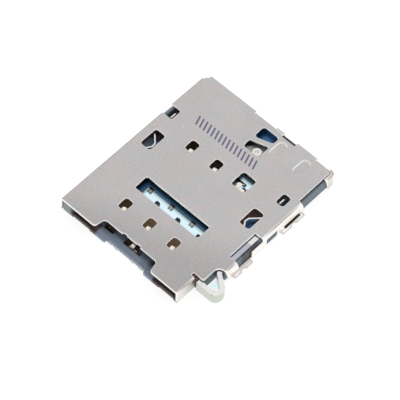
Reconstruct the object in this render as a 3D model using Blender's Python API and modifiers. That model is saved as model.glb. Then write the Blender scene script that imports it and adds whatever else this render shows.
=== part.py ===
"""SIM card socket for a nano-size card tray, surface-mounted on a phone board.

The model is written in millimetres. Every solid hangs from one empty, whose scale turns those
millimetres into metres. X runs to the right, Y runs the way the tray goes in, and Z runs up
from the board. X = 0 is the middle of the contact field, and Z = 0 is the board.
"""

import math

import bmesh
import bpy
from mathutils import Vector

METRES_PER_MILLIMETRE = 0.001

# Sheet metal and fits
HEIGHT = 1.40
SHEET = 0.15
BEND_RADIUS = 0.22
FIT = 0.02
EMBED = 0.02
SMALL_ROUND = 0.06
ARC_STEP = math.radians(18)
THROUGH = 1.0

# Cover, outer faces of its walls
COVER_LEFT = -6.53
COVER_RIGHT = 7.10
COVER_BACK = 8.62
COVER_FRONT = -7.93
COVER_CORNER = 0.50
WALL_FOOT = 0.05
NOSE_RIGHT = 5.72
NOSE_BACK = -5.95

# Front notch of the cover, where the tray is seen
NOTCH_LEFT = -2.82
NOTCH_RIGHT = 2.76
NOTCH_DEPTH = 0.98
NOTCH_SLANT = 0.10
NOTCH_ROUND = 0.30
RELIEF_X = 0.70
RELIEF_WIDTH = 0.32
RELIEF_DEPTH = 0.15

# Edges and tabs at the back of the cover
BACK_EDGE = 8.32
BACK_SLOT_EDGE = 8.15
BACK_WALL_LEFT = (-6.08, -1.20)
BACK_TAB = (1.00, 1.78)
BACK_WALL_RIGHT = (3.12, 5.18)
BACK_LOW_WALL_HEIGHT = 0.72
BACK_LOW_WALL_END = 6.45
LEFT_WALL_BACK = 7.96

# Right side of the cover
BARE_SIDE = (4.66, 8.25)
BARE_EDGE_INSET = 0.35
WRAP_FRONT = 7.45
WRAP_GAP = 0.05
WRAP_SLIT = 0.06
WALL_EDGE_SLANT = 0.32
ROD_WINDOW = (-2.75, 0.14)
ROD_WINDOW_STEP = -1.05
ROD_WINDOW_DROP = 0.50
ROD_WINDOW_LOW_SILL = 0.20
HOOK_NOTCH_BACK = -3.97
HOOK_NOTCH_EDGE = 6.33
HOOK_NOTCH_ROUND = 0.50
SLIT_WIDTH = 0.25
SLIT_END = 5.32

# Solder feet of the cover, as ranges along Y
FOOT_REACH = 0.34
FOOT_RANGES = ((2.20, 4.70), (-3.30, -1.20))
FOOT_ROUND = 0.14
FOOT_NOTCH_RADIUS = 0.26
FOOT_NOTCH_DEPTH = 0.16
BACK_FOOT_REACH = 0.22
FOOT_SLOT = (2.68, 4.46)
FOOT_SLOT_HEIGHT = 0.24

# Windows in the top of the cover
WINDOW_WIDTH = 0.78
WINDOW_LENGTH = 1.03
WINDOW_ROUND = 0.22
WINDOW_SHIFT = 0.05
WIDE_WINDOW_ROUND = 0.22
SLOT_ROUND = 0.16
TAIL_WINDOW = (-3.17, 3.44, -3.25, -1.87)
LEVER_WINDOW_LEFT = 0.19
LEVER_WINDOW_RIGHT = 1.78
LEVER_WINDOW_BACK = 7.87
LEVER_WINDOW_FRONT = 5.43
LEVER_WINDOW_ROUND = 0.26
LEVER_WEB_LEFT = 6.65
LEVER_WEB_RIGHT = 7.17
LEVER_WEB_WIDTH = 0.46
STAMPED_RECESSES = ((2.42, 7.05), (4.84, 7.05))
RECESS_WIDTH = 0.95
RECESS_LENGTH = 1.75
RECESS_DEPTH = 0.07

# Moulded housing
FLOOR = 0.40
THIN_FLOOR = 0.10
SLOT_HALF_WIDTH = 5.35
SLOT_LEAD_IN = 0.15
HOUSING_FRONT = -7.88
HOUSING_BACK_WALL = 0.40
LEVER_ROOM_WALL = 0.13
MOUTH_POCKET_DEPTH = 0.06
MOUTH_POCKET_INNER = (-3.50, 3.78)
MOUTH_POCKET_MARGIN = 0.06
MOUTH_POCKET_ROUND = 0.025
TAIL_RECESS = (-1.93, 2.12)
TAIL_RECESS_DEPTH = 0.27
TAIL_OPENING = (-2.99, 3.20, -3.15, -1.85)
TOOTH_FIRST_X = -1.35
TOOTH_SIDE_GAP = 0.05
TOOTH_COUNT = 3
TOOTH_WIDTH = 0.36
TOOTH_LENGTH = 0.70
LATCH_RANGE = (0.72, 1.76)
LATCH_HEIGHT = 0.68
LATCH_GAP = 0.08

# Contacts, all bent from one thin strip
CONTACT_SHEET = 0.12
CONTACT_WIDTH = 0.36
CONTACT_REACH = 1.90
CONTACT_TOP = 1.00
CONTACT_LIE = 0.20
CONTACT_TIP_DROP = 0.45
CONTACT_TIP_LENGTH = 0.40
BAR_LENGTH = 0.42
TAIL_WIDTH = 0.40
FRONT_ROW_Y = -4.92
BACK_ROW_Y = 2.56
FRONT_TAIL_END = -7.76
BACK_TAIL_END = -2.25
TAIL_RUN = 0.32
TAIL_HOLE_GAP = 0.15
POCKET_GAP = 0.17
POCKET_LEAD = 0.06
BAR_WINDOWS = ((-2.92, -1.85), (-0.75, 1.00))
BAR_WINDOW_RANGE = (-7.05, -6.30)

# Card detect switch
DETECT_X = 2.25
DETECT_Y = 2.90
DETECT_TAIL_X = 1.25
DETECT_TAIL_END = 0.12
DETECT_SPRING = (DETECT_X, DETECT_Y, DETECT_TAIL_END, (DETECT_TAIL_X,))
DETECT_OPENING = (1.60, 3.34, 0.85, 3.99)
TERMINAL_Y = 3.36
TERMINAL_WIDTH = 0.30
TERMINAL_TAIL_END = 0.62

# Lock springs, leaves that stand on edge beside the tray
LEAF_SHEET = 0.12
LEAF_X = 5.73
LEAF_BACK = 4.46
LEAF_TIP_X = 4.90
LEAF_TIP_Y = 0.68
LEAF_LOW = 0.46
LEAF_TOP_GAP = 0.06
LEAF_ROOM = 0.28
LEAF_BAY_FRONT = -1.13
LEAF_BAY_BACK = 2.08
LOCK_WINDOW = (4.70, 5.71, 0.02, 1.83)
ANCHOR_WINDOW = (5.47, 6.22, 3.32, 4.37)

# Push rod
ROD_X = 6.54
ROD_SHEET = 0.38
ROD_EDGE = 0.05
ROD_LOW = 0.15
LOOP_LOW = 0.05
ROD_TOP_GAP = 0.11
ROD_BEND_Y = -4.20
HOOK_X = 7.79
HOOK_SHOULDER = -5.10
HOOK_FRONT_Y = -5.88
HOOK_END_X = 5.95
HOOK_ROUND = 0.46
ROD_GAP = 0.03
HOOK_ROOM = 0.08
CHANNEL_SETBACK = 0.05

# Eject lever, drawn about its pivot with the arms along X
PIVOT_X = 1.28
PIVOT_Y = 5.85
LEVER_SHEET = 0.28
LEVER_LIFT = 0.22
LEVER_ARM = 5.12
LEVER_HUB_RADIUS = 0.72
LEVER_END_RADIUS = 0.34
LEVER_REST_ANGLE = math.radians(14.0)
LEVER_TOUCH_GAP = 0.08
RIVET_SHANK_RADIUS = 0.28
RIVET_HEAD_RADIUS = 0.40
RIVET_HOLE_RADIUS = 0.15
RIVET_SEAT = 0.18
RIVET_TOP_GAP = 0.04
RIVET_RIM = 0.08
RIVET_DIMPLE = 0.30

# Heights worked out from the sizes above
UNDERSIDE = HEIGHT - SHEET
HOUSING_TOP = UNDERSIDE - FIT
HOUSING_LEFT = COVER_LEFT + SHEET + FIT
HOUSING_RIGHT = COVER_RIGHT - SHEET - FIT
HOUSING_BACK = COVER_BACK - SHEET - FIT
HOUSING_NOSE_RIGHT = NOSE_RIGHT - SHEET - FIT
CAVITY_BACK = HOUSING_BACK - HOUSING_BACK_WALL
CHANNEL_HALF = ROD_SHEET / 2 + ROD_GAP
CHANNEL_LEFT = ROD_X - CHANNEL_HALF
CHANNEL_RIGHT = ROD_X + CHANNEL_HALF
LEVER_ROOM_RIGHT = HOUSING_RIGHT - LEVER_ROOM_WALL
LEVER_LOW = FLOOR + LEVER_LIFT
LEVER_TOP = LEVER_LOW + LEVER_SHEET
RAIL_BACK = LEAF_BACK + 0.14
GROOVE_FLOOR = CONTACT_LIE - CONTACT_SHEET / 2 - FIT
GROOVE_ROOF = CONTACT_LIE + CONTACT_SHEET / 2 + FIT
TOOTH_LAST_X = TAIL_OPENING[1] - TOOTH_SIDE_GAP - TOOTH_WIDTH / 2
TOOTH_PITCH = (TOOTH_LAST_X - TOOTH_FIRST_X) / (TOOTH_COUNT - 1)
LOOP_ROOM_LEFT = HOOK_END_X - HOOK_ROOM
LOOP_ROOM_BACK = HOOK_FRONT_Y + ROD_SHEET / 2 + HOOK_ROOM
ABOVE_FLOOR = FLOOR + THROUGH / 2
STEP_RUN = 0.12
TAIL_STEP = TAIL_RUN + STEP_RUN + CONTACT_SHEET

# Contacts by name: tip X, tip Y, end of the solder tail along Y, and tail places along X
CONTACTS = {
    "contact_c1": (-2.57, BACK_ROW_Y, BACK_TAIL_END, (-2.62,)),
    "contact_c2": (-0.03, BACK_ROW_Y, BACK_TAIL_END, (-0.42,)),
    "contact_c3": (2.78, BACK_ROW_Y, BACK_TAIL_END, (1.78,)),
    "contact_c5": (-2.57, FRONT_ROW_Y, FRONT_TAIL_END, (-1.58,)),
    "contact_c6": (-0.03, FRONT_ROW_Y, FRONT_TAIL_END, (-0.85, 0.79)),
    "contact_c7": (2.49, FRONT_ROW_Y, FRONT_TAIL_END, (1.70,)),
}


def clear_scene():
    for old in list(bpy.data.objects):
        bpy.data.objects.remove(old)


def make_collection(name):
    collection = bpy.data.collections.new(name)
    bpy.context.scene.collection.children.link(collection)
    return collection


def make_frame(collection):
    """The empty that carries every solid and turns millimetres into metres."""
    frame = bpy.data.objects.new("millimetre_frame", None)
    frame.scale = (METRES_PER_MILLIMETRE,) * 3
    collection.objects.link(frame)
    return frame


# Looks as linear colour, roughness and metallic
STAINLESS_STEEL = ("stainless_steel", (0.49, 0.48, 0.47), 0.34, 1.0)
BRIGHT_STEEL = ("bright_steel", (0.72, 0.71, 0.68), 0.28, 1.0)
BLUE_GREY_PLASTIC = ("blue_grey_plastic", (0.055, 0.075, 0.095), 0.50, 0.0)
GOLD_PLATING = ("gold_plating", (0.93, 0.68, 0.33), 0.25, 1.0)


def make_material(owner, look):
    label, colour, roughness, metallic = look
    material = bpy.data.materials.new(owner + "_" + label)
    material.use_nodes = True
    shader = material.node_tree.nodes["Principled BSDF"]
    shader.inputs["Base Color"].default_value = (*colour, 1.0)
    shader.inputs["Roughness"].default_value = roughness
    shader.inputs["Metallic"].default_value = metallic
    return material


# Outlines

def corner_arc(before, corner, after, radius):
    """Points of the arc that rounds one corner of an outline."""
    to_before = (before - corner).normalized()
    to_after = (after - corner).normalized()
    opening = to_before.angle(to_after)
    centre = corner + (to_before + to_after).normalized() * (radius / math.sin(opening / 2))
    start = corner + to_before * (radius / math.tan(opening / 2)) - centre
    sweep = math.pi - opening
    if start.x * to_before.y - start.y * to_before.x > 0:
        sweep = -sweep
    steps = max(2, math.ceil(abs(sweep) / ARC_STEP))
    points = []
    for step in range(steps + 1):
        turn = sweep * step / steps
        x = start.x * math.cos(turn) - start.y * math.sin(turn)
        y = start.x * math.sin(turn) + start.y * math.cos(turn)
        points.append(centre + Vector((x, y)))
    return points


def rounded(corners, closed=True):
    """An outline or a path from corners given as x, y and corner radius."""
    points = []
    count = len(corners)
    for index, (x, y, radius) in enumerate(corners):
        is_end = not closed and index in (0, count - 1)
        corner = Vector((x, y))
        if radius == 0 or is_end:
            points.append(corner)
            continue
        before = Vector(corners[index - 1][:2])
        after = Vector(corners[(index + 1) % count][:2])
        points.extend(corner_arc(before, corner, after, radius))
    return points


def rectangle(left, right, front, back, radius=0.0):
    corners = (
        (left, front, radius),
        (right, front, radius),
        (right, back, radius),
        (left, back, radius),
    )
    return rounded(corners)


def plain_corners(points):
    """An outline without the points that repeat or lie on a straight side."""
    kept = []
    for point in points:
        if not kept or (point - kept[-1]).length > 1e-6:
            kept.append(point)
    if (kept[0] - kept[-1]).length < 1e-6:
        kept.pop()
    corners = []
    for index, point in enumerate(kept):
        arriving = point - kept[index - 1]
        leaving = kept[(index + 1) % len(kept)] - point
        if abs(arriving.normalized().cross(leaving.normalized())) > 1e-4:
            corners.append(point)
    return corners


def circle(x, y, radius, steps=32):
    points = []
    for step in range(steps):
        turn = math.tau * step / steps
        points.append(Vector((x + radius * math.cos(turn), y + radius * math.sin(turn))))
    return points


# Solids

PLANE_TURNS = {
    "XY": (0.0, 0.0, 0.0),
    "YZ": (math.pi / 2, 0.0, math.pi / 2),
    "XZ": (math.pi / 2, 0.0, 0.0),
}


def place(solid, frame, plane, middle):
    """Lay a solid drawn on its own XY plane onto a plane of the socket."""
    solid.rotation_euler = PLANE_TURNS[plane]
    axis = {"XY": 2, "YZ": 0, "XZ": 1}[plane]
    solid.location[axis] = middle
    solid.parent = frame


def prism(name, loops, low, high, group, plane="XY"):
    """A flat outline, with any holes in it, given a thickness from low to high."""
    curve = bpy.data.curves.new(name, "CURVE")
    curve.dimensions = "2D"
    curve.fill_mode = "BOTH"
    curve.extrude = (high - low) / 2
    for loop in loops:
        spline = curve.splines.new("POLY")
        spline.points.add(len(loop) - 1)
        for point, corner in zip(spline.points, loop):
            point.co = (corner.x, corner.y, 0.0, 1.0)
        spline.use_cyclic_u = True
    drawn = bpy.data.objects.new(name + "_outline", curve)
    group["collection"].objects.link(drawn)
    bpy.context.view_layer.update()
    graph = bpy.context.evaluated_depsgraph_get()
    mesh = bpy.data.meshes.new_from_object(drawn.evaluated_get(graph))
    bpy.data.objects.remove(drawn)
    bpy.data.curves.remove(curve)
    mesh.name = name
    shape = bmesh.new()
    shape.from_mesh(mesh)
    bmesh.ops.remove_doubles(shape, verts=shape.verts, dist=1e-5)
    bmesh.ops.dissolve_limit(shape, angle_limit=1e-3, verts=shape.verts, edges=shape.edges)
    bmesh.ops.recalc_face_normals(shape, faces=shape.faces)
    shape.to_mesh(mesh)
    shape.free()
    solid = bpy.data.objects.new(name, mesh)
    group["collection"].objects.link(solid)
    place(solid, group["frame"], plane, (low + high) / 2)
    return solid


def strip(name, path, low, high, sheet, group, plane="XY"):
    """A strip of sheet metal of even thickness that follows a bent path."""
    mesh = bpy.data.meshes.new(name)
    shape = bmesh.new()
    half = (high - low) / 2
    points = [shape.verts.new((corner.x, corner.y, -half)) for corner in path]
    edges = [shape.edges.new(pair) for pair in zip(points, points[1:])]
    raised = bmesh.ops.extrude_edge_only(shape, edges=edges)["geom"]
    moved = [item for item in raised if isinstance(item, bmesh.types.BMVert)]
    bmesh.ops.translate(shape, verts=moved, vec=(0.0, 0.0, 2 * half))
    bmesh.ops.recalc_face_normals(shape, faces=shape.faces)
    shape.to_mesh(mesh)
    shape.free()
    solid = bpy.data.objects.new(name, mesh)
    group["collection"].objects.link(solid)
    place(solid, group["frame"], plane, (low + high) / 2)
    thicken = solid.modifiers.new("sheet", "SOLIDIFY")
    thicken.thickness = sheet
    thicken.offset = 0.0
    thicken.use_even_offset = True
    return solid


def soften_rim(solid, height, radius, segments):
    """Round the edges of a prism that lie at one height, as a press bends a sheet."""
    shape = bmesh.new()
    shape.from_mesh(solid.data)
    level = height - solid.location.z
    rim = [edge for edge in shape.edges if all(abs(v.co.z - level) < 1e-4 for v in edge.verts)]
    bmesh.ops.bevel(
        shape, geom=rim, offset=radius, segments=segments, profile=0.5, affect="EDGES",
    )
    shape.to_mesh(solid.data)
    shape.free()


def combine(solid, tool, operation):
    step = solid.modifiers.new(tool.name, "BOOLEAN")
    step.operation = operation
    step.solver = "EXACT"
    step.object = tool


def cut(solid, tool):
    combine(solid, tool, "DIFFERENCE")


def join(solid, tool):
    combine(solid, tool, "UNION")


def bevel_edges(solid, width, segments=2):
    bevel = solid.modifiers.new("edges", "BEVEL")
    bevel.width = width
    bevel.segments = segments
    bevel.limit_method = "ANGLE"
    bevel.angle_limit = math.radians(40)


def finish(solid, look):
    solid.data.materials.clear()
    solid.data.materials.append(make_material(solid.name, look))
    solid.data.shade_smooth()
    solid.data.set_sharp_from_angle(angle=math.radians(30))


# Cover

def cover_blank(parts, tools):
    """The folded sheet before it is cut: a tray with bent edges, open at the bottom."""
    front = COVER_FRONT - THROUGH
    step_y = NOSE_BACK + FIT
    outer = rounded((
        (COVER_LEFT, front, 0.0),
        (NOSE_RIGHT, front, 0.0),
        (NOSE_RIGHT, step_y, 0.0),
        (COVER_RIGHT, step_y, 0.0),
        (COVER_RIGHT, COVER_BACK, COVER_CORNER),
        (COVER_LEFT, COVER_BACK, 0.0),
    ))
    inner = rounded((
        (COVER_LEFT + SHEET, front - THROUGH, 0.0),
        (NOSE_RIGHT - SHEET, front - THROUGH, 0.0),
        (NOSE_RIGHT - SHEET, step_y + SHEET, 0.0),
        (COVER_RIGHT - SHEET, step_y + SHEET, 0.0),
        (COVER_RIGHT - SHEET, COVER_BACK - SHEET, COVER_CORNER - SHEET),
        (COVER_LEFT + SHEET, COVER_BACK - SHEET, 0.0),
    ))
    blank = prism("cover_shell", [outer], WALL_FOOT, HEIGHT, parts)
    soften_rim(blank, HEIGHT, BEND_RADIUS, 4)
    core = prism("cover_inside", [inner], -THROUGH, UNDERSIDE, tools)
    soften_rim(core, UNDERSIDE, BEND_RADIUS - SHEET, 2)
    cut(blank, core)
    return blank


def front_trim(tools):
    """What the blanking tool takes off the front edge, with the tray notch in it."""
    top = COVER_FRONT + NOTCH_DEPTH
    relief_top = top + RELIEF_DEPTH
    far = COVER_RIGHT + THROUGH
    low = COVER_FRONT - 3 * THROUGH
    side = RELIEF_X + RELIEF_WIDTH / 2
    inner = RELIEF_X - RELIEF_WIDTH / 2
    lip = top + RELIEF_DEPTH / 2
    outline = rounded((
        (-far, low, 0.0),
        (far, low, 0.0),
        (far, COVER_FRONT, 0.0),
        (NOTCH_RIGHT + NOTCH_SLANT, COVER_FRONT, NOTCH_ROUND),
        (NOTCH_RIGHT - NOTCH_SLANT, top, NOTCH_ROUND),
        (side + RELIEF_DEPTH / 2, top, SMALL_ROUND),
        (side, relief_top, SMALL_ROUND),
        (inner, relief_top, SMALL_ROUND),
        (inner - RELIEF_DEPTH / 4, lip, 0.02),
        (-inner + RELIEF_DEPTH / 4, lip, 0.02),
        (-inner, relief_top, SMALL_ROUND),
        (-side, relief_top, SMALL_ROUND),
        (-side - RELIEF_DEPTH / 2, top, SMALL_ROUND),
        (NOTCH_LEFT + NOTCH_SLANT, top, NOTCH_ROUND),
        (NOTCH_LEFT - NOTCH_SLANT, COVER_FRONT, NOTCH_ROUND),
        (-far, COVER_FRONT, 0.0),
    ))
    return prism("cut_front_edge", [outline], -THROUGH, HEIGHT + THROUGH, tools)


def back_trim(tools):
    """Openings between the folded walls along the back edge, and the back left corner."""
    out = COVER_BACK + THROUGH
    left_gap = rectangle(BACK_WALL_LEFT[1], BACK_TAB[0], BACK_EDGE, out, SMALL_ROUND)
    slot = rectangle(BACK_TAB[1], BACK_WALL_RIGHT[0], BACK_SLOT_EDGE, out, SMALL_ROUND)
    corner = rounded((
        (COVER_LEFT - THROUGH, LEFT_WALL_BACK, 0.0),
        (COVER_LEFT + BEND_RADIUS, LEFT_WALL_BACK, 0.0),
        (COVER_LEFT + BEND_RADIUS, LEFT_WALL_BACK + BEND_RADIUS, 0.0),
        (BACK_WALL_LEFT[0], LEFT_WALL_BACK + BEND_RADIUS, SMALL_ROUND / 2),
        (BACK_WALL_LEFT[0], out, 0.0),
        (COVER_LEFT - THROUGH, out, 0.0),
    ))
    loops = [left_gap, slot, corner]
    return prism("cut_back_edge", loops, -THROUGH, HEIGHT + THROUGH, tools)


def back_step(tools):
    """Lowers the back wall to a strip that runs to the wrapped corner."""
    loop = rounded((
        (BACK_WALL_RIGHT[1], BACK_EDGE, SMALL_ROUND),
        (COVER_RIGHT + THROUGH, BACK_EDGE, 0.0),
        (COVER_RIGHT + THROUGH, COVER_BACK + THROUGH, 0.0),
        (BACK_WALL_RIGHT[1], COVER_BACK + THROUGH, 0.0),
    ))
    return prism("cut_back_step", [loop], UNDERSIDE - FIT, HEIGHT + THROUGH, tools)


def back_low_wall(tools):
    loop = rounded((
        (BACK_WALL_RIGHT[1], BACK_LOW_WALL_HEIGHT, 0.08),
        (BACK_LOW_WALL_END, BACK_LOW_WALL_HEIGHT, 0.12),
        (BACK_LOW_WALL_END + 0.1, HEIGHT + THROUGH, 0.0),
        (BACK_WALL_RIGHT[1], HEIGHT + THROUGH, 0.0),
    ))
    return prism("cut_back_low_wall", [loop], BACK_EDGE, COVER_BACK + THROUGH, tools, "XZ")


def bare_side(tools):
    """The stretch of the right side that has no wall, so that the housing shows."""
    base = -THROUGH
    slope = WALL_EDGE_SLANT / UNDERSIDE
    drop = UNDERSIDE - base
    front = BARE_SIDE[0] + EMBED
    loop = rounded((
        (front, HEIGHT + THROUGH, 0.0),
        (front, UNDERSIDE, 0.0),
        (front + slope * drop, base, 0.0),
        (WRAP_FRONT + slope * drop, base, 0.0),
        (WRAP_FRONT, UNDERSIDE, 0.0),
        (WRAP_FRONT, HEIGHT + THROUGH, 0.0),
    ))
    reach = COVER_RIGHT - BARE_EDGE_INSET + EMBED
    return prism("cut_bare_side", [loop], reach, COVER_RIGHT + THROUGH, tools, "YZ")


def bare_edge(tools):
    """Frees the top from the tab that wraps round the back right corner, shoulder and all."""
    reach = COVER_RIGHT - BARE_EDGE_INSET
    wrap_front = WRAP_FRONT - EMBED
    wrap_back = BACK_EDGE - EMBED
    loop = rounded((
        (reach, BARE_SIDE[0], 0.0),
        (COVER_RIGHT + THROUGH, BARE_SIDE[0], 0.0),
        (COVER_RIGHT + THROUGH, wrap_front, 0.0),
        (reach + WRAP_SLIT, wrap_front, 0.0),
        (reach + WRAP_SLIT, wrap_back, 0.0),
        (COVER_RIGHT + THROUGH, wrap_back, 0.0),
        (COVER_RIGHT + THROUGH, COVER_BACK + THROUGH, 0.0),
        (BACK_LOW_WALL_END, COVER_BACK + THROUGH, 0.0),
        (BACK_LOW_WALL_END, BACK_EDGE + EMBED, 0.0),
        (reach, BARE_SIDE[1] - 2 * SMALL_ROUND, 2 * SMALL_ROUND),
    ))
    return prism("cut_bare_edge", [loop], UNDERSIDE - WRAP_GAP, HEIGHT + THROUGH, tools)


def rod_window(tools):
    """The opening over the push rod: through the top, and down the wall in two steps."""
    sill_height = HEIGHT - ROD_WINDOW_DROP
    sill = rounded((
        (ROD_WINDOW[1], HEIGHT + THROUGH, 0.0),
        (ROD_WINDOW[1], (UNDERSIDE + sill_height) / 2, 0.0),
        (ROD_WINDOW[1] + 2 * SMALL_ROUND, sill_height, 0.10),
        (ROD_WINDOW_STEP, sill_height, SMALL_ROUND),
        (ROD_WINDOW_STEP, ROD_WINDOW_LOW_SILL, SMALL_ROUND),
        (ROD_WINDOW[0] + WALL_EDGE_SLANT, ROD_WINDOW_LOW_SILL, SMALL_ROUND),
        (ROD_WINDOW[0], UNDERSIDE, 0.0),
        (ROD_WINDOW[0], HEIGHT + THROUGH, 0.0),
    ))
    inner = COVER_RIGHT - BEND_RADIUS - EMBED
    wall = prism("cut_rod_window_wall", [sill], inner, COVER_RIGHT + THROUGH, tools, "YZ")
    left = ROD_X - ROD_SHEET / 2 - 2 * ROD_GAP
    front = ROD_WINDOW[0] + EMBED
    back = ROD_WINDOW[1] - EMBED
    top = rectangle(left, COVER_RIGHT + THROUGH, front, back, SMALL_ROUND)
    plate = prism("cut_rod_window_top", [top], UNDERSIDE - 0.05, HEIGHT + THROUGH, tools)
    return wall, plate


def hook_notch(tools):
    """The notch for the looped end of the rod, and the slit behind the narrow front."""
    base = -THROUGH
    slope = WALL_EDGE_SLANT / UNDERSIDE
    far = COVER_RIGHT + THROUGH
    slit_back = NOSE_BACK + SLIT_WIDTH
    plan = rounded((
        (SLIT_END, NOSE_BACK, 0.10),
        (far, NOSE_BACK, 0.0),
        (far, HOOK_NOTCH_BACK, 0.0),
        (HOOK_NOTCH_EDGE, HOOK_NOTCH_BACK, HOOK_NOTCH_ROUND),
        (HOOK_NOTCH_EDGE, slit_back, 0.14),
        (SLIT_END, slit_back, 0.10),
    ))
    top = prism("cut_hook_notch", [plan], base, HEIGHT + THROUGH, tools)
    edge = rounded((
        (HOOK_NOTCH_BACK, UNDERSIDE, 0.0),
        (HOOK_NOTCH_BACK + slope * (UNDERSIDE - base), base, 0.0),
        (HOOK_NOTCH_BACK - THROUGH, base, 0.0),
        (HOOK_NOTCH_BACK - THROUGH, UNDERSIDE, 0.0),
    ))
    inner = COVER_RIGHT - BEND_RADIUS - EMBED
    wall = prism("cut_hook_notch_wall", [edge], inner, COVER_RIGHT + THROUGH, tools, "YZ")
    return top, wall


def window_loops():
    """Outlines of all the windows that lie inside the top of the cover."""
    loops = []
    half = WINDOW_WIDTH / 2
    reach = WINDOW_LENGTH / 2
    for name, (x, y, _, _) in CONTACTS.items():
        if name == "contact_c3":
            left = DETECT_X - half
            right = x + half + WINDOW_SHIFT
            front = y - WINDOW_LENGTH / 2 + 3 * WINDOW_SHIFT
            back = DETECT_Y + CONTACT_TIP_LENGTH * 2
            loops.append(rectangle(left, right, front, back, WIDE_WINDOW_ROUND))
        else:
            front = y + WINDOW_SHIFT - reach
            back = y + WINDOW_SHIFT + reach
            loops.append(rectangle(x - half, x + half, front, back, WINDOW_ROUND))
    loops.append(rectangle(*TAIL_WINDOW, SLOT_ROUND))
    left, right, front, back = LOCK_WINDOW
    loops.append(rectangle(left, right, front, back, WINDOW_ROUND))
    loops.append(rectangle(-right, -left, front, back, WINDOW_ROUND))
    loops.append(rectangle(*ANCHOR_WINDOW, WIDE_WINDOW_ROUND))
    loops.extend(lever_window_loops())
    return loops


def lever_window_loops():
    """Two windows over the lever hub, with a slanted web between them."""
    left = LEVER_WINDOW_LEFT
    right = LEVER_WINDOW_RIGHT
    web = LEVER_WEB_WIDTH
    back = rounded((
        (left, LEVER_WINDOW_BACK, LEVER_WINDOW_ROUND),
        (left, LEVER_WEB_LEFT, LEVER_WINDOW_ROUND),
        (right, LEVER_WEB_RIGHT, LEVER_WINDOW_ROUND),
        (right, LEVER_WINDOW_BACK, LEVER_WINDOW_ROUND),
    ))
    front = rounded((
        (left, LEVER_WEB_LEFT - web, LEVER_WINDOW_ROUND / 2),
        (left, LEVER_WINDOW_FRONT, LEVER_WINDOW_ROUND),
        (right, LEVER_WINDOW_FRONT, LEVER_WINDOW_ROUND),
        (right, LEVER_WEB_RIGHT - web, LEVER_WINDOW_ROUND / 2),
    ))
    return [back, front]


def anchor_notch(tools):
    """The left spring window, which runs out through the wall."""
    left, right, front, back = ANCHOR_WINDOW
    loop = rectangle(-right - THROUGH, -left, front, back, 0.10)
    return prism("cut_anchor_notch", [loop], UNDERSIDE - 0.30, HEIGHT + THROUGH, tools)


def latch_notches(tools):
    """Openings low in both side walls, where the housing's latches snap in."""
    front = LATCH_RANGE[0] - LATCH_GAP
    back = LATCH_RANGE[1] + LATCH_GAP
    top = LATCH_HEIGHT + LATCH_GAP
    loop = rectangle(front, back, -THROUGH, top, 0.08)
    low = COVER_LEFT - THROUGH
    return prism("cut_latch_notches", [loop], low, COVER_RIGHT + THROUGH, tools, "YZ")


def foot_slot(tools):
    low = SHEET
    loop = rectangle(FOOT_SLOT[0], FOOT_SLOT[1], low, low + FOOT_SLOT_HEIGHT, 0.08)
    inner = COVER_RIGHT - BEND_RADIUS - EMBED
    return prism("cut_foot_slot", [loop], inner, COVER_RIGHT + THROUGH, tools, "YZ")


def foot_outline(side, front, back):
    """A solder foot seen from above, with a round notch in its end."""
    wall = COVER_RIGHT if side > 0 else -COVER_LEFT
    root = wall - SHEET + EMBED
    end = wall + FOOT_REACH
    middle = (front + back) / 2
    outline = [Vector((root, front))]
    outline += corner_arc(
        Vector((root, front)), Vector((end, front)), Vector((end, middle)), FOOT_ROUND,
    )
    steps = 8
    for step in range(steps + 1):
        turn = -math.pi * (0.5 + step / steps)
        x = end + FOOT_NOTCH_DEPTH * math.cos(turn)
        outline.append(Vector((x, middle + FOOT_NOTCH_RADIUS * math.sin(turn))))
    outline += corner_arc(
        Vector((end, middle)), Vector((end, back)), Vector((root, back)), FOOT_ROUND,
    )
    outline.append(Vector((root, back)))
    if side < 0:
        outline = [Vector((-point.x, point.y)) for point in reversed(outline)]
    return outline


def cover_feet(tools):
    loops = []
    for front, back in FOOT_RANGES:
        loops.append(foot_outline(1, front, back))
        loops.append(foot_outline(-1, front, back))
    left, right = BACK_TAB
    root = COVER_BACK - SHEET + EMBED
    end = COVER_BACK + BACK_FOOT_REACH
    loops.append(rectangle(left + SMALL_ROUND, right - SMALL_ROUND, root, end, SMALL_ROUND / 2))
    return prism("add_solder_feet", loops, 0.0, SHEET, tools)


def stamped_recesses(tools):
    """Two long recesses pressed into the top: a cut above and the same shape below."""
    half = RECESS_WIDTH / 2
    reach = RECESS_LENGTH / 2
    solids = []
    for name, grow, low, high in (
        ("add_recess_undersides", 0.0, UNDERSIDE - RECESS_DEPTH, UNDERSIDE + SHEET / 2),
        ("cut_recess_tops", -0.08, HEIGHT - RECESS_DEPTH, HEIGHT + THROUGH),
    ):
        loops = []
        for x, y in STAMPED_RECESSES:
            width = half + grow
            length = reach + grow
            loops.append(rectangle(x - width, x + width, y - length, y + length, width * 0.98))
        solids.append(prism(name, loops, low, high, tools))
    return solids


def make_cover(parts, tools):
    cover = cover_blank(parts, tools)
    cut(cover, front_trim(tools))
    cut(cover, back_trim(tools))
    cut(cover, back_step(tools))
    cut(cover, back_low_wall(tools))
    cut(cover, bare_side(tools))
    cut(cover, bare_edge(tools))
    for tool in (*rod_window(tools), *hook_notch(tools)):
        cut(cover, tool)
    windows = prism("cut_windows", window_loops(), UNDERSIDE - 0.03, HEIGHT + THROUGH, tools)
    cut(cover, windows)
    cut(cover, anchor_notch(tools))
    cut(cover, latch_notches(tools))
    cut(cover, foot_slot(tools))
    undersides, tops = stamped_recesses(tools)
    join(cover, undersides)
    cut(cover, tops)
    join(cover, cover_feet(tools))
    return cover


# Contacts

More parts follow.
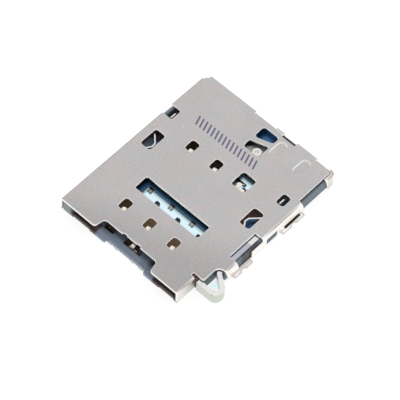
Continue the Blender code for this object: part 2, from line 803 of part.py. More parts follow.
def contact_path(tail_end, tip_y):
    """Side view of a contact: solder tail, step up into the floor, rising beam, round tip."""
    low = CONTACT_SHEET / 2
    step = tail_end + TAIL_RUN
    peak = CONTACT_TOP + CONTACT_SHEET * 0.1
    return rounded((
        (tail_end, low, 0.0),
        (step, low, 0.08),
        (step + STEP_RUN, CONTACT_LIE, 0.08),
        (tip_y - CONTACT_REACH, CONTACT_LIE, 0.60),
        (tip_y, peak, 0.30),
        (tip_y + CONTACT_TIP_LENGTH, peak - CONTACT_TIP_DROP, 0.0),
    ), closed=False)


def contact_outline(x, tip_y, tail_end, tails, grow=0.0):
    """Contact strip seen from above: tails, cross bar and beam."""
    half = CONTACT_WIDTH / 2 + grow
    tail_half = TAIL_WIDTH / 2 + grow
    root = tip_y - CONTACT_REACH
    bar_front = root - BAR_LENGTH - grow
    bar_back = root + grow
    end = tip_y + THROUGH
    start = tail_end - THROUGH
    left = min(x - half, tails[0] - tail_half)
    right = max(x + half, tails[-1] + tail_half)
    points = [(left, bar_back), (left, bar_front)]
    for tail in tails:
        points.append((tail - tail_half, bar_front))
        points.append((tail - tail_half, start))
        points.append((tail + tail_half, start))
        points.append((tail + tail_half, bar_front))
    points += [(right, bar_front), (right, bar_back)]
    points += [(x + half, bar_back), (x + half, end), (x - half, end), (x - half, bar_back)]
    return plain_corners([Vector(point) for point in points])


def make_contact(name, x, tip_y, tail_end, tails, parts, tools):
    half = 2 * THROUGH
    middle = (x + tails[0]) / 2
    path = contact_path(tail_end, tip_y)
    contact = strip(name, path, middle - half, middle + half, CONTACT_SHEET, parts, "YZ")
    outline = contact_outline(x, tip_y, tail_end, tails)
    blank = prism("shape_" + name, [outline], -THROUGH, HEIGHT + THROUGH, tools)
    combine(contact, blank, "INTERSECT")
    return contact


def make_contacts(parts, tools):
    contacts = []
    for name, (x, tip_y, tail_end, tails) in CONTACTS.items():
        contacts.append(make_contact(name, x, tip_y, tail_end, tails, parts, tools))
    return contacts


def make_detect_spring(parts, tools):
    return make_contact("detect_spring", *DETECT_SPRING, parts, tools)


def make_detect_terminal(parts):
    """The fixed half of the switch: a finger that the spring is pressed down onto."""
    low = CONTACT_SHEET / 2
    step = TERMINAL_TAIL_END + TAIL_RUN
    path = rounded((
        (TERMINAL_TAIL_END, low, 0.0),
        (step, low, 0.08),
        (step + STEP_RUN, CONTACT_LIE, 0.08),
        (DETECT_X + CONTACT_WIDTH / 2, CONTACT_LIE, 0.0),
    ), closed=False)
    low_y = TERMINAL_Y - TERMINAL_WIDTH / 2
    high_y = TERMINAL_Y + TERMINAL_WIDTH / 2
    return strip("detect_terminal", path, low_y, high_y, CONTACT_SHEET, parts, "XZ")


# Housing

def housing_outline():
    front = HOUSING_FRONT
    recess = HOUSING_FRONT + TAIL_RECESS_DEPTH
    pocket = HOUSING_FRONT + MOUTH_POCKET_DEPTH
    left_a = -SLOT_HALF_WIDTH + MOUTH_POCKET_MARGIN
    right_b = SLOT_HALF_WIDTH - MOUTH_POCKET_MARGIN
    left_b, right_a = MOUTH_POCKET_INNER
    loop_side = CHANNEL_LEFT - EMBED
    step = NOSE_BACK + FIT
    channel_front = HOOK_NOTCH_BACK + CHANNEL_SETBACK
    return rounded((
        (HOUSING_LEFT, front, 0.10),
        (left_a, front, MOUTH_POCKET_ROUND),
        (left_a, pocket, MOUTH_POCKET_ROUND),
        (left_b, pocket, MOUTH_POCKET_ROUND),
        (left_b, front, MOUTH_POCKET_ROUND),
        (TAIL_RECESS[0], front, 0.08),
        (TAIL_RECESS[0], recess, 0.04),
        (TAIL_RECESS[1], recess, 0.04),
        (TAIL_RECESS[1], front, 0.08),
        (right_a, front, MOUTH_POCKET_ROUND),
        (right_a, pocket, MOUTH_POCKET_ROUND),
        (right_b, pocket, MOUTH_POCKET_ROUND),
        (right_b, front, MOUTH_POCKET_ROUND),
        (HOUSING_NOSE_RIGHT, front, 0.04),
        (HOUSING_NOSE_RIGHT, step, 0.04),
        (LOOP_ROOM_LEFT, step, 0.04),
        (LOOP_ROOM_LEFT, LOOP_ROOM_BACK, 0.08),
        (loop_side, LOOP_ROOM_BACK, 0.08),
        (loop_side, channel_front, 0.04),
        (HOUSING_RIGHT, channel_front, 0.04),
        (HOUSING_RIGHT, HOUSING_BACK, COVER_CORNER - SHEET - FIT),
        (HOUSING_LEFT, HOUSING_BACK, 0.45),
    ))


def housing_cavity(tools):
    """The room for the tray and the lever above the floor."""
    front = HOUSING_FRONT - THROUGH
    wide = SLOT_HALF_WIDTH + SLOT_LEAD_IN
    lead = HOUSING_FRONT + 3 * SLOT_LEAD_IN
    nose = HOUSING_NOSE_RIGHT - 0.08
    loop = rounded((
        (-wide, front, 0.0),
        (nose, front, 0.0),
        (nose, HOUSING_FRONT, 0.0),
        (SLOT_HALF_WIDTH, lead, 0.0),
        (SLOT_HALF_WIDTH, RAIL_BACK, 0.0),
        (LEVER_ROOM_RIGHT, RAIL_BACK, 0.0),
        (LEVER_ROOM_RIGHT, CAVITY_BACK, 0.20),
        (-SLOT_HALF_WIDTH, CAVITY_BACK, 0.20),
        (-SLOT_HALF_WIDTH, lead, 0.0),
        (-wide, HOUSING_FRONT, 0.0),
    ))
    return prism("cut_tray_room", [loop], FLOOR, HEIGHT + THROUGH, tools)


def rod_channel(tools):
    """The channel that the push rod slides in, open at its front."""
    loop = rectangle(CHANNEL_LEFT, CHANNEL_RIGHT, HOOK_NOTCH_BACK - THROUGH, CAVITY_BACK - 0.25)
    return prism("cut_rod_channel", [loop], THIN_FLOOR, HEIGHT + THROUGH, tools)


def tail_opening_loop():
    """Opening in the floor for the back row's solder tails, with teeth along its front."""
    left, right, front, back = TAIL_OPENING
    corners = [(left, front, 0.08)]
    for index in range(TOOTH_COUNT):
        tooth_left = TOOTH_FIRST_X + index * TOOTH_PITCH - TOOTH_WIDTH / 2
        tooth_right = tooth_left + TOOTH_WIDTH
        corners.append((tooth_left, front, 0.0))
        corners.append((tooth_left, front + TOOTH_LENGTH, 0.06))
        corners.append((tooth_right, front + TOOTH_LENGTH, 0.06))
        corners.append((tooth_right, front, 0.0))
    corners += [(right, front, 0.0), (right, back, 0.08), (left, back, 0.08)]
    return rounded(corners)


def tail_notches(tools):
    """Room under the floor for the rows' solder tails, which come out below its edge."""
    loops = []
    tail_half = TAIL_WIDTH / 2 + 2 * FIT
    for x, tip_y, tail_end, tails in CONTACTS.values():
        notch_back = tail_end + TAIL_STEP
        for tail in tails:
            is_front = tip_y == FRONT_ROW_Y
            start = HOUSING_FRONT - THROUGH if is_front else TAIL_OPENING[3] - EMBED
            loops.append(rectangle(tail - tail_half, tail + tail_half, start, notch_back))
    return [
        prism("cut_tail_notch_%d" % index, [loop], -THROUGH, GROOVE_ROOF + FIT, tools)
        for index, loop in enumerate(loops)
    ]


def floor_openings(tools):
    """Everything that is open right through the floor."""
    loops = [tail_opening_loop(), rectangle(*DETECT_OPENING, 0.15)]
    tail_half = TAIL_WIDTH / 2 + 2 * FIT
    left = DETECT_TAIL_X - tail_half
    right = DETECT_TAIL_X + tail_half
    start = DETECT_TAIL_END - TAIL_HOLE_GAP
    loops.append(rectangle(left, right, start, DETECT_TAIL_END + TAIL_STEP, SMALL_ROUND))
    half = TERMINAL_WIDTH / 2 + 2 * FIT
    start = TERMINAL_TAIL_END - TAIL_HOLE_GAP
    end = TERMINAL_TAIL_END + TAIL_STEP
    loops.append(rectangle(start, end, TERMINAL_Y - half, TERMINAL_Y + half, SMALL_ROUND))
    return [
        prism("cut_floor_opening_%d" % index, [loop], -THROUGH, ABOVE_FLOOR, tools)
        for index, loop in enumerate(loops)
    ]


def contact_seats(tools):
    """Tunnels that hold the strips in the floor, and pockets that the beams bend down into."""
    cutters = []
    seats = {**CONTACTS, "detect_spring": DETECT_SPRING}
    for name, (x, tip_y, tail_end, tails) in seats.items():
        stop = tail_end + TAIL_RUN
        outline = contact_outline(x, tip_y, stop + THROUGH, tails, grow=FIT)
        groove = prism("cut_groove_" + name, [outline], GROOVE_FLOOR, GROOVE_ROOF, tools)
        cutters.append(groove)
        if name == "detect_spring":
            continue
        half = CONTACT_WIDTH / 2 + POCKET_GAP
        front = tip_y - CONTACT_REACH - POCKET_LEAD
        back = tip_y + CONTACT_TIP_LENGTH + POCKET_GAP
        pocket = rectangle(x - half, x + half, front, back, 0.08)
        pocket_cutter = prism("cut_pocket_" + name, [pocket], THIN_FLOOR, ABOVE_FLOOR, tools)
        cutters.append(pocket_cutter)
    for index, (left, right) in enumerate(BAR_WINDOWS):
        window = rectangle(left, right, *BAR_WINDOW_RANGE, SMALL_ROUND)
        title = "cut_bar_window_%d" % index
        cutters.append(prism(title, [window], GROOVE_FLOOR - EMBED / 2, ABOVE_FLOOR, tools))
    half = TERMINAL_WIDTH / 2 + FIT
    start = TERMINAL_TAIL_END + TAIL_RUN
    end = DETECT_OPENING[0] + EMBED
    finger = rectangle(start, end, TERMINAL_Y - half, TERMINAL_Y + half)
    cutters.append(prism("cut_groove_terminal", [finger], GROOVE_FLOOR, ABOVE_FLOOR, tools))
    return cutters


def leaf_seats(tools):
    """Room for the lock springs in both rails: a tight slot, a wide pocket and a free bay."""
    cutters = []
    grip = LEAF_SHEET / 2 + FIT
    left, right, front, back = ANCHOR_WINDOW
    for side, label in ((1, "right"), (-1, "left")):
        slot = rectangle(LEAF_X - grip, LEAF_X + grip, LEAF_BAY_BACK - EMBED, LEAF_BACK + FIT)
        pocket = rectangle(left - 0.02, right - 0.10, front, back, 0.06)
        bay_left = SLOT_HALF_WIDTH - 2 * SMALL_ROUND
        bay_right = LEAF_X + LEAF_ROOM
        bay = rectangle(bay_left, bay_right, LEAF_BAY_FRONT, LEAF_BAY_BACK, SMALL_ROUND)
        for name, loop in (("slot", slot), ("pocket", pocket), ("bay", bay)):
            if side < 0:
                loop = [Vector((-point.x, point.y)) for point in reversed(loop)]
            bottom = LEAF_LOW - FIT
            title = "cut_leaf_%s_%s" % (name, label)
            cutters.append(prism(title, [loop], bottom, HEIGHT + THROUGH, tools))
    return cutters


def lever_boss(tools):
    loops = [circle(PIVOT_X, PIVOT_Y, LEVER_HUB_RADIUS - 0.05)]
    boss = prism("add_lever_boss", loops, FLOOR - 0.1, LEVER_LOW - FIT, tools)
    hole = [circle(PIVOT_X, PIVOT_Y, RIVET_SHANK_RADIUS + FIT)]
    bore = prism("cut_rivet_hole", hole, RIVET_SEAT - FIT, HEIGHT + THROUGH, tools)
    return boss, bore


def latches(tools):
    """Wedges on both sides that the cover's walls snap over."""
    solids = []
    for name, wall, side, reach in (
        ("add_latch_right", HOUSING_RIGHT, 1, COVER_RIGHT - HOUSING_RIGHT),
        ("add_latch_left", HOUSING_LEFT, -1, HOUSING_LEFT - COVER_LEFT),
    ):
        loop = rounded((
            (wall - side * 0.1, 0.10, 0.0),
            (wall + side * reach, 0.10, 0.0),
            (wall + side * reach, LATCH_HEIGHT * 0.6, 0.0),
            (wall + side * 0.03, LATCH_HEIGHT, 0.0),
            (wall - side * 0.1, LATCH_HEIGHT, 0.0),
        ))
        solids.append(prism(name, [loop], LATCH_RANGE[0], LATCH_RANGE[1], tools, "XZ"))
    return solids


def make_housing(parts, tools):
    housing = prism("insulator_housing", [housing_outline()], 0.0, HOUSING_TOP, parts)
    cut(housing, housing_cavity(tools))
    cut(housing, rod_channel(tools))
    boss, bore = lever_boss(tools)
    join(housing, boss)
    for tool in latches(tools):
        join(housing, tool)
    openings = (bore, *tail_notches(tools), *floor_openings(tools))
    for tool in (*openings, *contact_seats(tools), *leaf_seats(tools)):
        cut(housing, tool)
    return housing


# Lock springs

def leaf_path(side):
    return rounded((
        (side * LEAF_X, LEAF_BACK, 0.0),
        (side * LEAF_X, LEAF_TIP_Y + 1.02, 0.15),
        (side * (LEAF_TIP_X + 0.04), LEAF_TIP_Y + 0.20, 0.12),
        (side * LEAF_TIP_X, LEAF_TIP_Y - 0.16, 0.12),
        (side * (LEAF_TIP_X + 0.62), LEAF_TIP_Y - 1.10, 0.0),
    ), closed=False)


def make_lock_spring(name, side, parts):
    top = HOUSING_TOP - LEAF_TOP_GAP
    return strip(name, leaf_path(side), LEAF_LOW, top, LEAF_SHEET, parts)


# Push rod, lever and rivet

def lever_front_at_rod():
    """Y of the lever's front edge where the rod meets it, with the rod pushed in."""
    lean = LEVER_END_RADIUS / math.cos(LEVER_REST_ANGLE)
    return PIVOT_Y + (ROD_X - PIVOT_X) * math.tan(LEVER_REST_ANGLE) - lean


def make_push_rod(parts, tools):
    """A bar on edge with a deeper loop at its front, bent from one strip."""
    back = lever_front_at_rod() - LEVER_TOUCH_GAP
    path = rounded((
        (ROD_X, back, 0.0),
        (ROD_X, ROD_BEND_Y, HOOK_ROUND),
        (HOOK_X, HOOK_SHOULDER, HOOK_ROUND),
        (HOOK_X, HOOK_FRONT_Y, HOOK_ROUND),
        (HOOK_END_X, HOOK_FRONT_Y, 0.0),
    ), closed=False)
    rod = strip("push_rod", path, LOOP_LOW, UNDERSIDE - ROD_TOP_GAP, ROD_SHEET, parts)
    under = rounded((
        (ROD_BEND_Y + HOOK_ROUND / 2, ROD_LOW, 0.08),
        (ROD_BEND_Y + HOOK_ROUND / 2, -THROUGH, 0.0),
        (CAVITY_BACK, -THROUGH, 0.0),
        (CAVITY_BACK, ROD_LOW, 0.0),
    ))
    cut(rod, prism("cut_rod_underside", [under], 0.0, COVER_RIGHT + THROUGH, tools, "YZ"))
    bevel_edges(rod, ROD_EDGE)
    return rod


def lever_outline():
    """A hub with two tapered arms that end in round lobes."""
    corners = []
    for side in (1, -1):
        arm = side * LEVER_ARM
        end = side * LEVER_END_RADIUS
        waist = side * LEVER_HUB_RADIUS
        corners.append((side * 0.95, -end * 1.02, 0.30))
        corners.append((arm + end, -end, LEVER_END_RADIUS * 0.96))
        corners.append((arm + end, end, LEVER_END_RADIUS * 0.96))
        corners.append((side * 0.95, end * 1.02, 0.30))
        corners.append((side * 0.45, waist, 0.45))
        corners.append((-side * 0.45, waist, 0.45))
    return rounded(corners)


def make_lever(parts, tools):
    lever = prism("eject_lever", [lever_outline()], -LEVER_SHEET / 2, LEVER_SHEET / 2, parts)
    lever.location = (PIVOT_X, PIVOT_Y, (LEVER_LOW + LEVER_TOP) / 2)
    lever.rotation_euler.z = LEVER_REST_ANGLE
    hole = [circle(PIVOT_X, PIVOT_Y, RIVET_SHANK_RADIUS + FIT)]
    cut(lever, prism("cut_lever_hole", hole, 0.0, HEIGHT, tools))
    bevel_edges(lever, 0.03, 1)
    return lever


def make_rivet(parts):
    """A hollow rivet, turned about the pivot."""
    top = UNDERSIDE - RIVET_TOP_GAP
    head = LEVER_TOP + FIT
    chamfer = RIVET_RIM / 2
    profile = (
        (0.0, top - RIVET_DIMPLE),
        (RIVET_HOLE_RADIUS - chamfer, top - RIVET_DIMPLE + chamfer),
        (RIVET_HOLE_RADIUS, top - RIVET_RIM),
        (RIVET_HOLE_RADIUS + chamfer, top),
        (RIVET_HEAD_RADIUS - RIVET_RIM, top),
        (RIVET_HEAD_RADIUS - RIVET_RIM * 0.3, top - RIVET_RIM * 0.3),
        (RIVET_HEAD_RADIUS, top - RIVET_RIM),
        (RIVET_HEAD_RADIUS, head),
        (RIVET_SHANK_RADIUS, head),
        (RIVET_SHANK_RADIUS, RIVET_SEAT + chamfer),
        (RIVET_SHANK_RADIUS - chamfer, RIVET_SEAT),
        (0.0, RIVET_SEAT),
    )
    mesh = bpy.data.meshes.new("lever_rivet")
    shape = bmesh.new()
    points = [shape.verts.new((radius, 0.0, z)) for radius, z in profile]
    for pair in zip(points, points[1:]):
        shape.edges.new(pair)
    shape.to_mesh(mesh)
    shape.free()
    rivet = bpy.data.objects.new("lever_rivet", mesh)
    parts["collection"].objects.link(rivet)
    rivet.location = (PIVOT_X, PIVOT_Y, 0.0)
    rivet.parent = parts["frame"]
    screw = rivet.modifiers.new("turn", "SCREW")
    screw.steps = 32
    screw.render_steps = 32
    screw.use_merge_vertices = True
    screw.merge_threshold = 0.0001
    return rivet


def hide_tools(tools):
    for tool in tools["collection"].objects:
        tool.hide_render = True
        tool.display_type = "WIRE"


def main():
    clear_scene()
    model = make_collection("sim_card_socket")
    cutters = make_collection("cutters")
    frame = make_frame(model)
    parts = {"collection": model, "frame": frame}
    tools = {"collection": cutters, "frame": frame}

    finish(make_cover(parts, tools), STAINLESS_STEEL)
    finish(make_housing(parts, tools), BLUE_GREY_PLASTIC)
    for contact in make_contacts(parts, tools):
        finish(contact, GOLD_PLATING)
    finish(make_detect_spring(parts, tools), GOLD_PLATING)
    finish(make_detect_terminal(parts), GOLD_PLATING)
    finish(make_lock_spring("lock_spring_right", 1, parts), BRIGHT_STEEL)
    finish(make_lock_spring("lock_spring_left", -1, parts), BRIGHT_STEEL)
    finish(make_push_rod(parts, tools), BRIGHT_STEEL)
    finish(make_lever(parts, tools), BRIGHT_STEEL)
    finish(make_rivet(parts), BRIGHT_STEEL)
    hide_tools(tools)


main()
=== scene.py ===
# %% [markdown]
# # A SIM card socket, dressed for its picture
# The socket is as wide as a fingertip and thinner than a coin, so everything about its look is
# small: a satin steel sheet with freshly cut edges, a dark moulding under it, and gold springs that
# show only as glints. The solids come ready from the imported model. This lesson softens their edges,
# gives each metal and the plastic a finish of its own, and sets up the camera, the floor and the
# light.

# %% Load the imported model
import math

import bpy
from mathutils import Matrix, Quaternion, Vector


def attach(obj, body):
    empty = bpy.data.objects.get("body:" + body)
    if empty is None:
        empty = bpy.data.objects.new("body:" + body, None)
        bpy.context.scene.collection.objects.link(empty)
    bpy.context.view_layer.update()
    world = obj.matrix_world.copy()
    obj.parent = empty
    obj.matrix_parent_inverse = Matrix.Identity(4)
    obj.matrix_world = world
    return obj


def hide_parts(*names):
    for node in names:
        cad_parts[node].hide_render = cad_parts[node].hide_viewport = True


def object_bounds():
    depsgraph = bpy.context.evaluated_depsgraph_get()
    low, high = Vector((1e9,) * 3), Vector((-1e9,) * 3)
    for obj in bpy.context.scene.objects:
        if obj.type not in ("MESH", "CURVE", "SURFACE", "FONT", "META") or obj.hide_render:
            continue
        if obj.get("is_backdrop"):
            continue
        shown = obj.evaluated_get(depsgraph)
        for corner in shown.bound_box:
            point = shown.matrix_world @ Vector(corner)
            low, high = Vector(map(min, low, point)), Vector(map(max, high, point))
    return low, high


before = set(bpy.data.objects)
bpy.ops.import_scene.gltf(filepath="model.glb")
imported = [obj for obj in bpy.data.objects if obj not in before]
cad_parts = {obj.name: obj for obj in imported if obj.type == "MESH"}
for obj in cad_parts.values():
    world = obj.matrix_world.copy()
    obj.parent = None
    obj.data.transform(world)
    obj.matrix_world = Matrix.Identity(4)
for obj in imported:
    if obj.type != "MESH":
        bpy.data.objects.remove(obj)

cad_box = [list(corner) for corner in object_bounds()]
print("solids:", len(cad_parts))

# %% [markdown]
# ## Millimetres
# The socket was drawn in millimetres and Blender works in metres. One constant turns the first into
# the second, and every size below is written the way a maker would say it.

# %% Millimetres
MM = 0.001
COVER_TOP = 1.40

low, high = (Vector(corner) / MM for corner in cad_box)
print("size in mm: %.2f x %.2f x %.2f" % tuple(high - low))

# %% [markdown]
# ## The camera
# A photographer shot this from far away with a long lens, so parallel edges stay almost parallel.
# An orbit around a point on the cover describes such a view best: a turn, a height angle, a
# distance, and a small roll, because the camera wasn't held quite level. Placing the camera by hand
# and nudging it would never line up the edges as well as these four numbers do.

# %% Camera
AIM = Vector((1.23, -0.61, COVER_TOP)) * MM
TURN = math.radians(39.79)
HEIGHT_ANGLE = math.radians(57.24)
ROLL = math.radians(3.79)
DISTANCE = 197.86 * MM
LENS = 232.27

level = math.cos(HEIGHT_ANGLE)
forward = Vector((
    -math.sin(TURN) * level,
    math.cos(TURN) * level,
    -math.sin(HEIGHT_ANGLE),
))
camera_data = bpy.data.cameras.new("portrait_camera")
camera_data.lens = LENS
camera_data.sensor_width = 36.0
camera_data.clip_start = 0.01
camera_data.clip_end = 10.0
camera = bpy.data.objects.new("portrait_camera", camera_data)
camera.location = AIM - forward * DISTANCE
camera.rotation_mode = "QUATERNION"
camera.rotation_quaternion = (
    forward.to_track_quat("-Z", "Y") @ Quaternion((0.0, 0.0, 1.0), ROLL)
)
bpy.context.scene.collection.objects.link(camera)
bpy.context.scene.camera = camera
print("camera at", [round(value, 4) for value in camera.location])

# %% [markdown]
# ## Nodes from Python
# A shader is a graph, and drawing it in code takes three lines for each node. One function adds any
# node: its settings first, then its sockets. One small class wraps an output so that plus, minus
# and times build Math nodes, and a mask can be written as the formula it is.

# %% A node, a wire and a formula
def add_node(tree, kind, settings=None, values=None, output=0):
    """A new node with its settings and sockets filled in, given as the wire of one output."""
    node = tree.nodes.new(kind)
    for name, setting in (settings or {}).items():
        setattr(node, name, setting)
    for name, value in (values or {}).items():
        if isinstance(value, Wire):
            tree.links.new(value.socket, node.inputs[name])
        elif isinstance(value, tuple) and len(node.inputs[name].default_value) == 4:
            node.inputs[name].default_value = (*value, 1.0)
        else:
            node.inputs[name].default_value = value
    return Wire(node.outputs[output])


class Wire:
    """An output socket that can stand in a formula."""

    def __init__(self, socket):
        self.socket = socket

    def node(self, kind, settings=None, values=None, output=0):
        """A new node in this wire's own tree."""
        return add_node(self.socket.id_data, kind, settings, values, output)

    def math(self, operation, first, second=0.0):
        return self.node("ShaderNodeMath", {"operation": operation}, {0: first, 1: second})

    def __add__(self, other):
        return self.math("ADD", self, other)

    __radd__ = __add__

    def __sub__(self, other):
        return self.math("SUBTRACT", self, other)

    def __rsub__(self, other):
        return self.math("SUBTRACT", other, self)

    def __mul__(self, other):
        return self.math("MULTIPLY", self, other)

    __rmul__ = __mul__

    def above(self, limit, blur):
        """0 below a limit and 1 above it, with a soft step between."""
        values = {0: self, 1: limit - blur, 2: limit + blur, 3: 0.0, 4: 1.0}
        return self.node("ShaderNodeMapRange", {"interpolation_type": "SMOOTHSTEP"}, values)

    def split(self):
        """The wires of x, y and z."""
        node = self.node("ShaderNodeSeparateXYZ", values={0: self}).socket.node
        return [Wire(socket) for socket in node.outputs]

    def stretched(self, x, y, z):
        """A place whose pattern is squeezed along each axis by these amounts."""
        settings = {"operation": "MULTIPLY"}
        return self.node("ShaderNodeVectorMath", settings, {0: self, 1: (x, y, z)})

    def noise(self, scale, detail=2.0, roughness=0.5):
        values = {"Vector": self, "Scale": scale, "Detail": detail, "Roughness": roughness}
        return self.node("ShaderNodeTexNoise", values=values)

    def mix(self, first, second):
        """The first colour where this mask is 0 and the second where it is 1."""
        settings = {"data_type": "RGBA"}
        return self.node("ShaderNodeMix", settings, {0: self, 6: first, 7: second}, output=2)

    def scaled(self, amount):
        """This colour made lighter or darker by an amount."""
        settings = {"operation": "SCALE"}
        return self.node("ShaderNodeVectorMath", settings, {0: self, "Scale": amount})


print("1 - mask now builds its own Math node")

# %% [markdown]
# ## A finish starts with a place
# Every pattern here is measured in millimetres on the part itself, so that grain on a 15 mm sheet
# has the size it has on the real one. Object coordinates times a thousand give that, and they stay
# put when the camera moves.

# %% Start a material
def start_material(name, roughness, metallic):
    """A material, its shader, and the place in millimetres that every pattern starts from."""
    material = bpy.data.materials.new(name)
    material.use_nodes = True
    tree = material.node_tree
    shader = tree.nodes["Principled BSDF"]
    shader.inputs["Roughness"].default_value = roughness
    shader.inputs["Metallic"].default_value = metallic
    metres = add_node(tree, "ShaderNodeTexCoord", output=3)
    place = metres.stretched(1 / MM, 1 / MM, 1 / MM)
    return material, shader, place


def distance(position, middle):
    """How far a coordinate is from a middle, on either side."""
    return position.math("ABSOLUTE", position - middle)


def plug(shader, **wires):
    """Wires go into the shader's sockets of the same names."""
    for name, wire in wires.items():
        socket = shader.inputs[name.replace("_", " ")]
        shader.id_data.links.new(wire.socket, socket)


def bump(height, depth_mm):
    """A Normal from a height map whose full range is this many millimetres deep."""
    values = {"Height": height, "Distance": depth_mm * MM, "Strength": 1.0}
    return height.node("ShaderNodeBump", values=values)


def steepness(place):
    """1 on faces that look straight up or down, 0 on walls, and all between along a bend."""
    normal = place.node("ShaderNodeNewGeometry", output=1)
    return place.math("ABSOLUTE", normal.split()[2])


def near_edges(place, reach_mm):
    """Masks along the sharp edges: all of them, those that face front and those that face back.

    A rounded normal leaves the true one only near an edge, so the rim is where the two disagree.
    """
    rounded = place.node("ShaderNodeBevel", {"samples": 8}, {"Radius": reach_mm * MM})
    true = place.node("ShaderNodeNewGeometry", output=3)
    settings = {"operation": "DOT_PRODUCT"}
    agree = place.node("ShaderNodeVectorMath", settings, {0: rounded, 1: true}, output=1)
    rim = (1 - agree).above(0.016, 0.013)
    x, y = rounded.split()[:2]
    facing = 0.8 * x - y
    return rim, rim * facing.above(0.0, 0.06), rim * (1 - facing.above(-0.06, 0.06))


def box_mask(x, y, edges, blur=0.1):
    """1 inside a rectangle given as left, right, front and back."""
    left, right, front, back = edges
    across = x.above(left, blur) * (1 - x.above(right, blur))
    return across * y.above(front, blur) * (1 - y.above(back, blur))


print("materials start from Object coordinates in millimetres")

# %% [markdown]
# ## Rolled stainless sheet
# The cover is thin stainless steel as it comes off the roll: satin, faintly streaked along the
# rolling, with clouds of slightly warmer and cooler grey, and handling leaves a few pale scuffs.
# The press leaves the cut edges brighter than the faces, and a painted highlight lies along the
# rims as well, strongest on those that face front. The walls are painted near white as a painted
# reflection of the table, the back tab an even green grey as painted shade, and towards the near
# corner the sheet is painted a little darker as painted shade. Painted shade also lines the folds,
# the back rims of the pressed recesses and the edges of the feet, and darkens the nose wall, the
# wrapped corner and the slot above a foot. Each of these is one mask, and the masks only nudge the
# colour and the roughness.

# %% Rolled steel
WARM_STEEL = (0.600, 0.550, 0.550)
COOL_STEEL = (0.560, 0.558, 0.550)
SCUFF_STEEL = (0.80, 0.78, 0.77)
CUT_EDGE_AND_WALL_SHEEN = (0.95, 0.925, 0.88)
TINNED_STEEL = (1.0, 0.985, 0.95)
FOLD_AND_RIM_SHADE = (0.26, 0.19, 0.165)
SLOT_SHADE = (0.15, 0.115, 0.085)
FOOT_SLOT = (6.90, 7.23, 2.70, 4.44)
RIM_HIGHLIGHT = (1.0, 0.98, 0.97)
TAB_CORNER_SHADE = (0.66, 0.62, 0.52)
TAB_CORNER = (6.79, 7.40, 7.35, 8.50)
BACK_TAB_SHADE = (0.68, 0.70, 0.67)
BACK_TAB = (0.98, 1.80, 8.28, 9.00)
NOSE_WALL_SHADE = (0.57, 0.58, 0.54)
NOSE_WALL = (5.30, 6.00, -8.20, -5.80)
FOOT_TOP = 0.30
PRESSED_TOP = COVER_TOP - 0.030


def scuffs(place):
    """Short pale marks, scattered about one to each three millimetres."""
    slanted = place.node(
        "ShaderNodeMapping", values={"Vector": place, "Rotation": (0.0, 0.0, 0.6)},
    )
    values = {"Vector": slanted.stretched(1.0, 2.6, 1.0), "Scale": 0.42}
    near = place.node("ShaderNodeTexVoronoi", values=values)
    ragged = place.noise(9.0) * 0.05
    return 1 - (near + ragged).above(0.065, 0.03)


